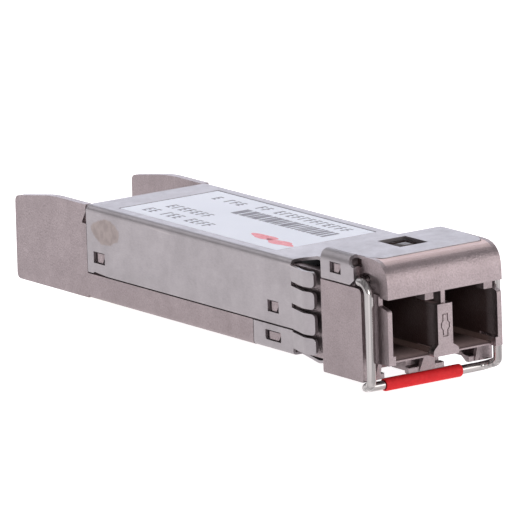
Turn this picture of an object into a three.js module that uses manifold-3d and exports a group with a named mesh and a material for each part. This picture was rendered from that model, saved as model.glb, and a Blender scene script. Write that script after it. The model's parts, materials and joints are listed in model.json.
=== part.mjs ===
// Pluggable optical transceiver module with a duplex receptacle and a bail latch.
// +Z is up, -Y points out of the optical ports, +X is to the right seen from the ports. Millimetres.
// Parts are drawn with Y counted from the stop shoulder and Z from the underside of the body;
// the group then moves them so that the origin lies under the middle, level with the lowest point.
import * as THREE from "three";
import { mergeVertices } from "three/addons/utils/BufferGeometryUtils.js";
import Module from "manifold-3d";

const wasm = await Module();
wasm.setup();

// Body: a die-cast tub under a sheet cover.
const BODY_HALF = 6.7;
const BODY_TOP = 8.5;
const BODY_REAR = 47.5;
const SHEET = 0.3;
const FIT = 0.05;
const WALL_HALF = BODY_HALF - SHEET - FIT;
const ROOM_HALF = 5.45;
const LEDGE_INNER = 4.7;
const FLOOR_TOP = 0.8;
const SILL_TOP = 2.28;
const COVER_BOTTOM = 2.4;
const COVER_REAR = 36.04;
const TUB_REAR = 37.1;
const WING_INNER = 6.0;
const WING_TOP = 8.5;
const WING_REAR_TOP = 7.62;
const WING_SLOPE_START = 41.6;
const CORNER = 0.4;
const COVER_CORNER = 0.55;

// Nose: the wide part that stays outside the cage.
const NOSE_HALF = 6.85;
const NOSE_FRONT = -5.95;
const NOSE_REAR = -0.05;
const STOP_PAD_INNER = 5.9;
const NOSE_BOTTOM = -0.6;
const NOSE_SIDE_TOP = 7.6;
const CAP_TOP = 10.26;
const CAP_HALF = 6.8;
const CAP_FRONT = -7.0;
const CAP_TAB_FRONT = -4.9;
const HOOD_HALF = 6.04;
const HOOD_FRONT = -8.78;
const HOOD_BOTTOM = 6.96;
const HOOD_REAR = -4.6;
const HOOD_ROUND = 2.4;
const BAIL_RELIEF_R = 1.75;
const FRONT_FACE = -8.65;
const CROSSWALL_FRONT = -2.3;

// Receptacle: two ports side by side.
const PORT_PITCH = 6.25;
const PORT_INNER = 0.78;
const PORT_OUTER = 5.57;
const PORT_FLOOR = 1.3;
const PORT_GROOVE_Z = [1.82, 2.04];
const PORT_GROOVE_DEPTH = 0.14;
const PORT_END = 0.8;
const WALL_OUTER = 6.03;
const FLOOR_THICK = 0.35;
const FLANK_INNER = 5.5;
const AXIS_HEIGHT = 3.75;
const BULKHEAD_REAR = 1.6;
const BARREL_HOLE_R = 1.6;
const DIVIDER_TOP = 5.75;
const DIVIDER_WEB_HALF = 0.22;
const FLOOR_FRONT = -7.8;
const LIP_FRONT = -5.75;
const LIP_BOTTOM = -0.64;
const LIP_TOP = -0.1;
const LIP_THICK = 0.45;

// Windows in the sheet parts and the catches that snap into them, as spans in mm.
const COVER_WINDOWS_Y = [[33.3, 35.05], [6.6, 8.25]];
const COVER_WINDOW_Z = [3.38, 4.42];
const COLLAR_WINDOW_Y = [6.4, 8.75];
const COLLAR_WINDOW_Z = [0.82, 1.7];
const CAP_WINDOW_Y = [-3.0, -1.4];
const CAP_WINDOW_Z = [8.4, 9.35];
const CAP_TOP_WINDOW_HALF = 1.5;
const CAP_TOP_WINDOW_Y = [-4.45, -1.1];
const CATCH_PROUD = 0.25;
const CATCH_GAP_Y = 0.15;
const CATCH_GAP_Z = 0.1;
const CATCH_RECESS = 0.1;
const CATCH_TAPER = 0.3;

// Label, in a shallow recess of the cover.
const LABEL_HALF = 5.3;
const LABEL_Y = [8.65, 32.65];
const LABEL_RECESS = 0.11;
const LABEL_GAP = 0.1;

// Spring fingers that ground the module against its cage.
const FINGER_ROOT = 4.6;
const FINGER_TIP = 0.85;
const FINGER_BEND = 2.1;
const FINGER_FLARE = 0.55;
const SLOT = 0.4;
const TIP_ROUND = 0.45;
const SIDE_SLOTS = [8.2, 6.41, 4.48];
const TOP_FINGER_PITCH = 2.85;
const LOWER_FINGERS_X = [[1.75, 3.6], [3.9, 5.75]];

// Lower collar.
const COLLAR_REAR = 10.5;
const COLLAR_TOP = 2.25;
const COLLAR_SHEET = 0.28;
const COLLAR_LIFT = 0.03;

// Latch rocker and its boss.
const LATCH_PIVOT = [-1.6, 0.1];
const LATCH_PIN_R = 0.35;
const LATCH_PIN_HALF = 3.1;
const LATCH_HALF = 1.3;
const LEVER_FRONT = -5.1;
const LEVER_UNDER = 0.12;
const LEVER_TOP = 0.6;
const RAIL_INNER = 1.08;
const WEIGHT_HALF = 1.75;
const WEIGHT_ROOM_HALF = 2.0;
const WEIGHT_REAR = -3.0;
const LATCH_SHOULDER = 2.5;
const LATCH_BOSS_REAR = 5.1;
const LATCH_BOSS_DROP = 0.45;
const CHANNEL_HALF = 1.6;
const CHANNEL_REAR = 5.9;
const CHANNEL_ROOF = 1.65;

// Bail: a bent wire that hangs on two stubs in the hood's sides.
const BAIL_PIVOT = [-5.4, 8.2];
const WIRE_R = 0.4;
const ARM_X = 6.72;
const ARM_Y = -6.95;
const BAR_Z = -1.25;
const STUB_END = 4.9;
const STUB_HOLE_R = 0.45;
const SLEEVE_R = 0.57;
const SLEEVE_BORE_R = 0.45;
const SLEEVE_SPAN = [-4.35, 3.75];

// Circuit board.
const BOARD_BOTTOM = 2.25;
const BOARD_THICK = 1.0;
const BOARD_TOP = BOARD_BOTTOM + BOARD_THICK;
const BOARD_FRONT = 11.8;
const BOARD_NECK = 37.3;
const BOARD_REAR = 44.3;
const BOARD_HALF = 5.25;
const EDGE_HALF = 4.6;
const SOLDER = 0.04;
const FLEX_THICK = 0.14;
const FLEX_HALF = 1.6;

const LOWEST = BAR_Z - SLEEVE_R;
const MIDDLE = (BODY_REAR + HOOD_FRONT) / 2;
const CURVE_STEPS = 7;
const ROUND_SIDES = 24;
const MERGE = 1e-4;

const STEEL = 0xb4adb2;
const CASTING = 0xa89c9d;
const WIRE = 0xb9b4b2;
const RED = 0xc9252c;
const PAPER = 0xe6ebf3;
const BOARD_GREEN = 0x1f5a3c;
const AMBER = 0xb46a24;
const CERAMIC = 0xf1efe8;
const GOLD = 0xc9a24e;
const BLACK = 0x17181b;
const TAN = 0xb09a76;
const GREY_RUBBER = 0x70757b;

const module = new THREE.Group();
module.name = "optical_transceiver_module";
module.position.set(0, -MIDDLE, -LOWEST);

// ---- Solids ----

function solid(geometry) {
  const bare = geometry.index ? geometry.toNonIndexed() : geometry.clone();
  bare.deleteAttribute("normal");
  bare.deleteAttribute("uv");
  const merged = mergeVertices(bare, MERGE);
  return new wasm.Manifold(
    new wasm.Mesh({
      numProp: 3,
      vertProperties: merged.attributes.position.array,
      triVerts: new Uint32Array(merged.index.array),
    }),
  );
}

function block([x0, x1], [y0, y1], [z0, z1]) {
  const box = new THREE.BoxGeometry(x1 - x0, y1 - y0, z1 - z0);
  return solid(box.translate((x0 + x1) / 2, (y0 + y1) / 2, (z0 + z1) / 2));
}

// An outline of [a, b] corners; a third number rounds the corner by that much.
function outline(corners) {
  const shape = new THREE.Shape();
  corners.forEach(([a, b, round = 0], i) => {
    const before = corners.at(i - 1);
    const after = corners[(i + 1) % corners.length];
    const corner = new THREE.Vector2(a, b);
    const toward = ([c, d]) => new THREE.Vector2(c - a, d - b).setLength(round).add(corner);
    const enter = round ? toward(before) : corner;
    if (i) shape.lineTo(enter.x, enter.y);
    else shape.moveTo(enter.x, enter.y);
    if (!round) return;
    const leave = toward(after);
    shape.quadraticCurveTo(a, b, leave.x, leave.y);
  });
  return shape;
}

function prism(corners, depth, matrix) {
  const shape = outline(corners);
  const options = { depth, bevelEnabled: false, curveSegments: CURVE_STEPS };
  return solid(new THREE.ExtrudeGeometry(shape, options).applyMatrix4(matrix));
}

// Prisms along X from (y, z) corners, along Y from (x, z) corners, along Z from (x, y) corners.
function alongX(corners, [x0, x1]) {
  const turn = new THREE.Matrix4().set(0, 0, 1, x0, 1, 0, 0, 0, 0, 1, 0, 0, 0, 0, 0, 1);
  return prism(corners, x1 - x0, turn);
}

function alongY(corners, [y0, y1]) {
  const turn = new THREE.Matrix4().set(1, 0, 0, 0, 0, 0, -1, y1, 0, 1, 0, 0, 0, 0, 0, 1);
  return prism(corners, y1 - y0, turn);
}

function alongZ(corners, [z0, z1]) {
  return prism(corners, z1 - z0, new THREE.Matrix4().makeTranslation(0, 0, z0));
}

function rodX(radius, [x0, x1], [y, z], sides = ROUND_SIDES) {
  const rod = new THREE.CylinderGeometry(radius, radius, x1 - x0, sides).rotateZ(-Math.PI / 2);
  return solid(rod.translate((x0 + x1) / 2, y, z));
}

function rodY(radius, [y0, y1], [x, z], sides = ROUND_SIDES) {
  const rod = new THREE.CylinderGeometry(radius, radius, y1 - y0, sides);
  return solid(rod.translate(x, (y0 + y1) / 2, z));
}

// A turned part on an axis along Y: corners are [radius, y], closed on themselves or on the axis.
function turned(corners, [x, z]) {
  const profile = corners.map(([radius, y]) => new THREE.Vector2(radius, y));
  return solid(new THREE.LatheGeometry(profile, ROUND_SIDES).translate(x, 0, z));
}

const join = (parts) => parts.reduce((whole, part) => whole.add(part));
const cut = (whole, parts) => parts.reduce((rest, part) => rest.subtract(part), whole);
const across = (side, a, b) => (side < 0 ? [-b, -a] : [a, b]);
const bothSides = (make) => [-1, 1].map(make);
const shrunk = ([a, b], by) => [a + by, b - by];
const flipped = (side, corners) => corners.map(([x, ...rest]) => [side * x, ...rest]);

function addPiece(name, body, color, roughness, metalness) {
  const mesh = body.getMesh();
  const geometry = new THREE.BufferGeometry();
  geometry.setAttribute("position", new THREE.BufferAttribute(mesh.vertProperties, 3));
  geometry.setIndex(new THREE.BufferAttribute(mesh.triVerts, 1));
  geometry.computeVertexNormals();
  const material = new THREE.MeshStandardMaterial({ color, roughness, metalness });
  const piece = new THREE.Mesh(geometry, material);
  piece.name = name;
  module.add(piece);
}

// ---- Base housing: tub, wings, nose, hood and receptacle in one casting ----

function tubShell() {
  const wallTop = BODY_TOP - SHEET - 0.1;
  const neckBottom = COLLAR_LIFT + COLLAR_SHEET + FIT;
  const ledgeTop = BOARD_BOTTOM - FIT;
  const ledgeBottom = FLOOR_TOP - 0.3;
  const sill = alongY(
    [
      [-BODY_HALF, SILL_TOP],
      [-BODY_HALF, 0, CORNER],
      [BODY_HALF, 0, CORNER],
      [BODY_HALF, SILL_TOP],
    ],
    [COLLAR_REAR + FIT, TUB_REAR],
  );
  const neck = block([-WALL_HALF, WALL_HALF], [NOSE_REAR - 0.1, COLLAR_REAR + 1], [neckBottom, SILL_TOP]);
  const wallSpan = [NOSE_REAR - 0.1, COVER_REAR - 0.1];
  const walls = block([-WALL_HALF, WALL_HALF], wallSpan, [SILL_TOP - 0.5, wallTop]);
  const room = block([-ROOM_HALF, ROOM_HALF], [BULKHEAD_REAR, TUB_REAR + 1], [FLOOR_TOP, BODY_TOP]);
  const rearLedge = block([-ROOM_HALF, ROOM_HALF], [COVER_REAR - 1, TUB_REAR], [ledgeBottom, ledgeTop]);
  const sideLedges = bothSides((side) =>
    block(across(side, LEDGE_INNER, ROOM_HALF + 0.3), [BOARD_FRONT + 1, COVER_REAR], [ledgeBottom, ledgeTop]),
  );
  const latchRoof = block(
    [-CHANNEL_HALF - 0.4, CHANNEL_HALF + 0.4],
    [BULKHEAD_REAR - 0.5, CHANNEL_REAR + 0.9],
    [ledgeBottom, CHANNEL_ROOF + 0.35],
  );
  return join([cut(join([sill, neck, walls]), [room]), rearLedge, ...sideLedges, latchRoof]);
}

function wing(side) {
  const front = COVER_REAR + FIT;
  const corners = [
    [front, 0.02],
    [BODY_REAR, 0.02, 0.6],
    [BODY_REAR - 0.1, WING_REAR_TOP, 0.6],
    [WING_SLOPE_START, WING_TOP, 1.5],
    [front, WING_TOP, 0.15],
  ];
  const root = [
    [COVER_REAR - 1, 0.5],
    [COVER_REAR + 1, 0.5],
    [COVER_REAR + 1, SILL_TOP],
    [COVER_REAR - 1, SILL_TOP],
  ];
  const relief = [
    [COVER_REAR - 0.2, 8.25],
    [COVER_REAR - 0.2, 6.75, 0.1],
    [COVER_REAR + 0.75, 6.75, 0.25],
  ];
  const plate = alongX(corners, across(side, WING_INNER, BODY_HALF));
  const notch = alongX(relief, across(side, BODY_HALF - 0.25, BODY_HALF + 1));
  return cut(plate, [notch]).add(alongX(root, across(side, WING_INNER - 0.5, BODY_HALF - 0.01)));
}

// A tapered catch on a flat wall: it stands in a sheet part's window, with a recess behind it.
function catchWedge(side, wall, windowY, windowZ) {
  const [y0, y1] = shrunk(windowY, CATCH_GAP_Y);
  const [z0, z1] = shrunk(windowZ, CATCH_GAP_Z);
  const rear = y1 - CATCH_RECESS;
  const profile = [
    [wall - SHEET, y0],
    [wall + 0.1, y0],
    [wall + CATCH_PROUD, y0 + CATCH_TAPER],
    [wall + CATCH_PROUD, rear - CATCH_TAPER],
    [wall + 0.05, rear],
    [wall - SHEET, rear],
  ];
  const face = [
    [y0 + CATCH_TAPER, z0, 0.12],
    [rear, z0, 0.12],
    [rear, z1, 0.08],
    [y0, z1, 0.08],
  ];
  const blank = alongX(face, across(side, wall - SHEET, wall + 1));
  return alongZ(flipped(side, profile), [z0, z1]).intersect(blank);
}

const catches = (side) =>
  join([
    ...COVER_WINDOWS_Y.map((y) => catchWedge(side, WALL_HALF, y, COVER_WINDOW_Z)),
    catchWedge(side, WALL_HALF, COLLAR_WINDOW_Y, COLLAR_WINDOW_Z),
    catchWedge(side, CAP_HALF - SHEET - FIT, CAP_WINDOW_Y, CAP_WINDOW_Z),
  ]);

// The nose: a block under the cap, a flank on each side, and a crosswall below the port floor.
// Two low pads stand proud of its rear face: they are what meets the cage.
function noseBlock() {
  const half = CAP_HALF - SHEET - FIT;
  const top = CAP_TOP - SHEET - FIT;
  const upper = alongY([[-half, 7], [-half, top, 0.7], [half, top, 0.7], [half, 7]], [HOOD_REAR, NOSE_REAR]);
  const flank = [
    [NOSE_REAR, NOSE_BOTTOM, 0.15],
    [NOSE_REAR, NOSE_SIDE_TOP],
    [NOSE_FRONT, NOSE_SIDE_TOP, 0.5],
    [NOSE_FRONT, NOSE_BOTTOM, 0.15],
  ];
  const flanks = bothSides((side) => alongX(flank, across(side, FLANK_INNER, NOSE_HALF)));
  const pads = bothSides((side) =>
    block(across(side, STOP_PAD_INNER, NOSE_HALF - FIT), [NOSE_REAR - 0.1, 0], [NOSE_BOTTOM + 0.15, -FIT]),
  );
  const core = block([-6, 6], [NOSE_FRONT + 0.4, 0.3], [PORT_FLOOR - FLOOR_THICK, 8]);
  const crosswall = block([-6, 6], [CROSSWALL_FRONT, NOSE_REAR], [NOSE_BOTTOM, PORT_FLOOR]);
  return join([upper, ...flanks, ...pads, core, crosswall]);
}

function hood() {
  const top = CAP_TOP - 0.01;
  const profile = [
    [HOOD_REAR, HOOD_BOTTOM],
    [HOOD_REAR, top],
    [HOOD_FRONT, top, HOOD_ROUND],
    [HOOD_FRONT, HOOD_BOTTOM],
  ];
  const capSeat = alongZ(capFrontOutline(FIT), [CAP_TOP - SHEET - FIT, CAP_TOP + 1]);
  const bailReliefs = bothSides((side) =>
    rodX(BAIL_RELIEF_R, across(side, WALL_OUTER - 0.3, BODY_HALF + 1), [ARM_Y + 1.1, HOOD_BOTTOM + 0.2]),
  );
  return cut(alongX(profile, [-HOOD_HALF, HOOD_HALF]), [capSeat, ...bailReliefs]);
}

// Front edge of the nose cap: narrower than its tabs, with its corners cut off.
function capFrontOutline(gap) {
  const half = HOOD_HALF - 0.04;
  const front = CAP_FRONT - gap;
  const corner = 5.2 + gap;
  return [
    [half, 1],
    [half, -5.6, 0.3],
    [corner, front, 0.2],
    [-corner, front, 0.2],
    [-half, -5.6, 0.3],
    [-half, 1],
  ];
}

function receptacle() {
  const wall = [
    [NOSE_FRONT + 0.5, 1.15],
    [FRONT_FACE, 1.15, 0.1],
    [FRONT_FACE, 6.0, 0.35],
    [-7.35, 6.25],
    [-7.35, 7.2],
    [NOSE_FRONT + 0.5, 7.2],
  ];
  const walls = bothSides((side) =>
    alongX(wall, across(side, PORT_OUTER, WALL_OUTER)).add(
      block(across(side, 5.3, PORT_OUTER + 0.1), [FRONT_FACE, -7.9], [1.15, 1.95]),
    ),
  );
  const floor = alongX(
    [
      [FLOOR_FRONT, PORT_FLOOR],
      [FLOOR_FRONT, PORT_FLOOR - 0.15],
      [-6.4, PORT_FLOOR - FLOOR_THICK],
      [0, PORT_FLOOR - FLOOR_THICK],
      [0, PORT_FLOOR],
    ],
    [-PORT_OUTER - 0.1, PORT_OUTER + 0.1],
  );
  const foot = [
    [-1.3, 1.2, 0.2],
    [1.4, 1.2, 0.2],
    [1.4, 1.75, 0.3],
    [0.7, 2.2],
    [-0.7, 2.3],
    [-1.3, 1.75, 0.3],
  ];
  const divider = join([
    block([-PORT_INNER, PORT_INNER], [FRONT_FACE, PORT_END], [1.2, DIVIDER_TOP]),
    block([-DIVIDER_WEB_HALF, DIVIDER_WEB_HALF], [FRONT_FACE + 0.25, -4], [DIVIDER_TOP - 0.25, 7.2]),
    block([-PORT_INNER, PORT_INNER], [-4.4, PORT_END], [DIVIDER_TOP - 0.25, 7.6]),
    alongY(foot, [FRONT_FACE, FRONT_FACE + 0.7]),
  ]);
  const grooves = bothSides((side) => {
    const width = across(side, PORT_INNER - PORT_GROOVE_DEPTH, PORT_OUTER + PORT_GROOVE_DEPTH);
    return block(width, [FRONT_FACE + 1, PORT_END], PORT_GROOVE_Z);
  });
  return cut(join([...walls, floor, divider]), grooves);
}

// A shoulder hangs in each port for the plug's catch to hook behind.
function plugKeeper(side) {
  const middle = (side * PORT_PITCH) / 2;
  return block([middle + 1.45, middle + 2.35], [-8.1, -6.9], [6.2, HOOD_BOTTOM + 0.3]);
}

function portCavity(side) {
  const middle = (side * PORT_PITCH) / 2;
  const port = block(
    across(side, PORT_INNER, PORT_OUTER),
    [FRONT_FACE + 0.75, PORT_END],
    [PORT_FLOOR, HOOD_BOTTOM],
  );
  const catchRoom = block([middle - 1.6, middle + 1.6], [HOOD_FRONT + 0.95, -1.8], [HOOD_BOTTOM - 1, 8.6]);
  return port.add(catchRoom);
}

// Hooks below the ports: a plate that dips and turns down above the bail's crossbar,
// with an upright tongue that joins it to the port floor.
function lip([x0, x1], [tongueFoot, tongueTop]) {
  const back = LIP_FRONT + LIP_THICK;
  const plateTop = LIP_TOP + 0.45;
  const hook = [
    [CROSSWALL_FRONT + 0.1, LIP_TOP],
    [CROSSWALL_FRONT + 0.1, plateTop],
    [-4.3, plateTop, 0.3],
    [-5.1, LIP_TOP, 0.3],
    [LIP_FRONT, LIP_TOP, 0.15],
    [LIP_FRONT, LIP_BOTTOM, 0.12],
    [back, LIP_BOTTOM, 0.05],
    [-4.5, LIP_TOP, 0.3],
  ];
  const under = PORT_FLOOR - FLOOR_THICK + 0.15;
  const slant = [
    [LIP_FRONT - 0.12, LIP_BOTTOM + 0.1],
    [LIP_FRONT + 0.25, LIP_BOTTOM + 0.1],
    [LIP_FRONT - 0.15, under],
    [LIP_FRONT - 0.6, under],
  ];
  const middle = (x0 + x1) / 2;
  const taper = [
    [middle - tongueFoot, LIP_BOTTOM],
    [middle + tongueFoot, LIP_BOTTOM],
    [middle + tongueTop, under, 0.1],
    [middle - tongueTop, under, 0.1],
  ];
  const tongue = alongX(slant, [x0, x1]).intersect(alongY(taper, [LIP_FRONT - 1, back]));
  return alongX(hook, [x0, x1]).add(tongue);
}

// The rocker's channel is open below the nose and rises behind the pivot.
function latchRoom() {
  const span = [-CHANNEL_HALF, CHANNEL_HALF];
  return [
    block(
      [-WEIGHT_ROOM_HALF, WEIGHT_ROOM_HALF],
      [LEVER_FRONT - 0.1, CROSSWALL_FRONT],
      [NOSE_BOTTOM - 1, 0.85],
    ),
    block(span, [CROSSWALL_FRONT - 0.7, CHANNEL_REAR], [NOSE_BOTTOM - 1, 0.95]),
    block(span, [LATCH_PIVOT[0], CHANNEL_REAR], [0.5, CHANNEL_ROOF]),
    rodX(LATCH_PIN_R + 0.03, [-LATCH_PIN_HALF - 0.1, LATCH_PIN_HALF + 0.1], LATCH_PIVOT),
  ];
}

function baseHousing() {
  const hull = join([tubShell(), noseBlock(), hood(), receptacle(), ...bothSides(wing)]);
  const openBelow = block(
    [-FLANK_INNER, FLANK_INNER],
    [-9, CROSSWALL_FRONT],
    [NOSE_BOTTOM - 1, PORT_FLOOR - 0.3],
  );
  const lips = [
    lip([-1.95, 1.85], [0.85, 0.5]),
    ...bothSides((side) => lip(across(side, 4.5, 6.1), [0.25, 0.2])),
  ];
  const details = [...lips, ...bothSides(catches), ...bothSides(plugKeeper), capLug()];
  const body = join([cut(hull, [...bothSides(portCavity), openBelow]), ...details]);
  const barrelHoles = bothSides((side) =>
    rodY(BARREL_HOLE_R, [PORT_END - 0.5, BULKHEAD_REAR + 0.1], [(side * PORT_PITCH) / 2, AXIS_HEIGHT]),
  );
  const stubHoles = bothSides((side) => rodX(STUB_HOLE_R, across(side, STUB_END - 0.15, 7), BAIL_PIVOT));
  const tabCavities = bothSides((side) =>
    block(across(side, FLANK_INNER, 6.6), [HOOD_REAR - 0.5, -3.9], [9.3, CAP_TOP - 0.1]),
  );
  return cut(body, [
    ...latchRoom(),
    ...barrelHoles,
    ...stubHoles,
    ...tabCavities,
    capWindowPocket(),
    portMark(),
  ]);
}

// A rounded lug that stands in the cap's window, and the shallow pocket round it.
function capLug() {
  const [front, rear] = shrunk(CAP_TOP_WINDOW_Y, CATCH_GAP_Y);
  const low = CAP_TOP - 0.5;
  const high = CAP_TOP - 0.12;
  const along = [
    [front + 0.3, low - 0.5],
    [front + 0.3, low],
    [front + 0.75, high, 0.15],
    [rear - 1.3, high, 0.15],
    [rear - 0.9, low],
    [rear - 0.9, low - 0.5],
  ];
  const half = [
    [0.85, low - 0.5],
    [0.85, low],
    [0.45, high, 0.15],
  ];
  const breadth = alongY([...half, ...flipped(-1, half).reverse()], CAP_TOP_WINDOW_Y);
  return alongX(along, [-1, 1]).intersect(breadth);
}

function capWindowPocket() {
  const top = CAP_TOP - SHEET - FIT;
  const half = CAP_TOP_WINDOW_HALF - CATCH_GAP_Y;
  const pocket = block([-half, half], shrunk(CAP_TOP_WINDOW_Y, CATCH_GAP_Y), [top - 0.12, CAP_TOP + 1]);
  return cut(pocket, [capLug()]);
}

// A plain plug outline sunk into the divider's front, as a port marking.
function portMark() {
  const plug = (inset) => {
    const body = 0.3 - inset;
    const bulge = 0.48 - inset;
    const half = [
      [body, 4.9 - inset],
      [body, 4.25],
      [bulge, 4.05],
      [bulge, 3.65],
      [body, 3.45],
      [body, 2.85 + inset],
    ];
    return alongY([...half, ...flipped(-1, half).reverse()], [FRONT_FACE - 1, FRONT_FACE + 0.12]);
  };
  return cut(plug(0), [plug(0.12)]);
}

// ---- Sheet parts ----

// One spring finger: it leans out from its root to a bend, then back in to its tip.
function finger(offset, thick, flare) {
  return [
    [offset, FINGER_ROOT + 0.4],
    [offset, FINGER_ROOT],
    [offset + flare, FINGER_BEND, 0.3],
    [offset + flare * 0.45, FINGER_TIP],
    [offset + flare * 0.45 - thick, FINGER_TIP],
    [offset + flare - thick, FINGER_BEND, 0.3],
    [offset - thick, FINGER_ROOT],
    [offset - thick, FINGER_ROOT + 0.4],
  ];
}

// The rounded outline of a finger across a span, as (depth, place across) corners.
function fingerBlank([low, high]) {
  return [
    [FINGER_ROOT + 0.4, low],
    [FINGER_TIP, low, TIP_ROUND],
    [FINGER_TIP, high, TIP_ROUND],
    [FINGER_ROOT + 0.4, high],
  ];
}

function sideFinger(side, thick, span) {
  const strip = alongZ(flipped(side, finger(BODY_HALF, thick, FINGER_FLARE)), span);
  return strip.intersect(alongX(fingerBlank(span), [-NOSE_HALF - 1, NOSE_HALF + 1]));
}

// Fingers on the top or bottom: the same profile, turned to lean out along Z.
function flatFinger(offset, thick, flare, span) {
  const strip = alongX(finger(offset, thick, flare).map(([z, y, ...round]) => [y, z, ...round]), span);
  const blank = fingerBlank(span).map(([y, x, ...round]) => [x, y, ...round]);
  return strip.intersect(alongZ(blank, [-1, BODY_TOP + 1]));
}

function coverSkin() {
  const inner = BODY_HALF - SHEET;
  const under = BODY_TOP - SHEET;
  const outside = alongY(
    [
      [-BODY_HALF, COVER_BOTTOM],
      [-BODY_HALF, BODY_TOP, COVER_CORNER],
      [BODY_HALF, BODY_TOP, COVER_CORNER],
      [BODY_HALF, COVER_BOTTOM],
    ],
    [FINGER_ROOT, COVER_REAR],
  );
  const inside = alongY(
    [
      [-inner, COVER_BOTTOM - 1],
      [-inner, under, COVER_CORNER - SHEET],
      [inner, under, COVER_CORNER - SHEET],
      [inner, COVER_BOTTOM - 1],
    ],
    [FINGER_ROOT - 1, COVER_REAR + 1],
  );
  return cut(outside, [inside]);
}

function topCover() {
  const recess = block(
    [-LABEL_HALF - LABEL_GAP, LABEL_HALF + LABEL_GAP],
    shrunk(LABEL_Y, -LABEL_GAP),
    [BODY_TOP - LABEL_RECESS, BODY_TOP + 1],
  );
  const windows = COVER_WINDOWS_Y.map((y) => block([-8, 8], y, COVER_WINDOW_Z));
  const seamNotch = [
    [33.0, 2],
    [35.2, 2],
    [35.2, 2.5, 0.2],
    [34.9, 2.55],
    [33.0, 2.4],
  ];
  const flap = block([-4.9, 4.9], [COVER_REAR - SHEET, COVER_REAR], [4.3, BODY_TOP - SHEET + 0.1]);
  const edges = [...SIDE_SLOTS, COVER_BOTTOM - SLOT / 2];
  const spans = SIDE_SLOTS.map((high, i) => [edges[i + 1] + SLOT / 2, high - SLOT / 2]);
  const sideFingers = bothSides((side) => join(spans.map((span) => sideFinger(side, SHEET, span))));
  const topFingers = [-2, -1, 0, 1].map((place) =>
    flatFinger(BODY_TOP, SHEET, FINGER_FLARE, [
      place * TOP_FINGER_PITCH + SLOT / 2,
      (place + 1) * TOP_FINGER_PITCH - SLOT / 2,
    ]),
  );
  const skin = cut(coverSkin(), [recess, ...windows, alongX(seamNotch, [-8, 8])]);
  return join([skin, flap, ...sideFingers, ...topFingers]);
}

function lowerCollar() {
  const low = COLLAR_LIFT;
  const inner = BODY_HALF - COLLAR_SHEET;
  const skin = alongY(
    [
      [-BODY_HALF, COLLAR_TOP],
      [-BODY_HALF, low, CORNER],
      [BODY_HALF, low, CORNER],
      [BODY_HALF, COLLAR_TOP],
    ],
    [FINGER_ROOT, COLLAR_REAR],
  );
  const inside = block(
    [-inner, inner],
    [FINGER_ROOT - 1, COLLAR_REAR + 1],
    [low + COLLAR_SHEET, COLLAR_TOP + 1],
  );
  const latchWindow = block([-CHANNEL_HALF, CHANNEL_HALF], [FINGER_ROOT - 1, 7.4], [low - 1, low + 1]);
  const [front, rear] = COLLAR_WINDOW_Y;
  const [sill, head] = COLLAR_WINDOW_Z;
  const window = [
    [front, sill, 0.15],
    [rear, sill, 0.35],
    [rear, head, 0.15],
    [front, head, 0.15],
  ];
  const sideWindows = alongX(window, [-8, 8]);
  const sideFingers = bothSides((side) =>
    sideFinger(side, COLLAR_SHEET, [low + 0.62, COLLAR_TOP - 0.12]),
  );
  const flatFingers = LOWER_FINGERS_X.flatMap((span) =>
    bothSides((side) => flatFinger(low, -COLLAR_SHEET, 0.1 - FINGER_FLARE, across(side, ...span))),
  );
  return join([cut(skin, [inside, latchWindow, sideWindows]), ...sideFingers, ...flatFingers]);
}

function noseCap() {
  const under = CAP_TOP - SHEET;
  const inner = CAP_HALF - SHEET;
  const bottom = NOSE_SIDE_TOP + 0.12;
  const bend = alongY(
    [
      [-CAP_HALF, bottom],
      [-CAP_HALF, CAP_TOP, 1],
      [CAP_HALF, CAP_TOP, 1],
      [CAP_HALF, bottom],
    ],
    [CAP_TAB_FRONT, NOSE_REAR],
  );
  const inside = alongY(
    [
      [-inner, 7],
      [-inner, under, 0.7],
      [inner, under, 0.7],
      [inner, 7],
    ],
    [CAP_TAB_FRONT - 1, 1],
  );
  const chamfer = [
    [-5.2, 7],
    [-4.1, 7],
    [-4.1, 7.6],
    [-5.2, 8.4],
  ];
  const chamfers = bothSides((side) => alongX(chamfer, across(side, 6, 8)));
  const notches = bothSides((side) => rodX(0.75, across(side, 5.9, 8), [-4.8, CAP_TOP - 0.2]));
  const sideWindows = block([-8, 8], CAP_WINDOW_Y, CAP_WINDOW_Z);
  const topWindow = block([-CAP_TOP_WINDOW_HALF, CAP_TOP_WINDOW_HALF], CAP_TOP_WINDOW_Y, [9, 11]);
  const plate = alongZ(capFrontOutline(0), [under, CAP_TOP]).intersect(
    block([-7, 7], [CAP_FRONT - 1, -1], [under, CAP_TOP]),
  );
  return cut(cut(bend, [inside]).add(plate), [sideWindows, topWindow, ...chamfers, ...notches]);
}

// ---- Latch and bail ----

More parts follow.
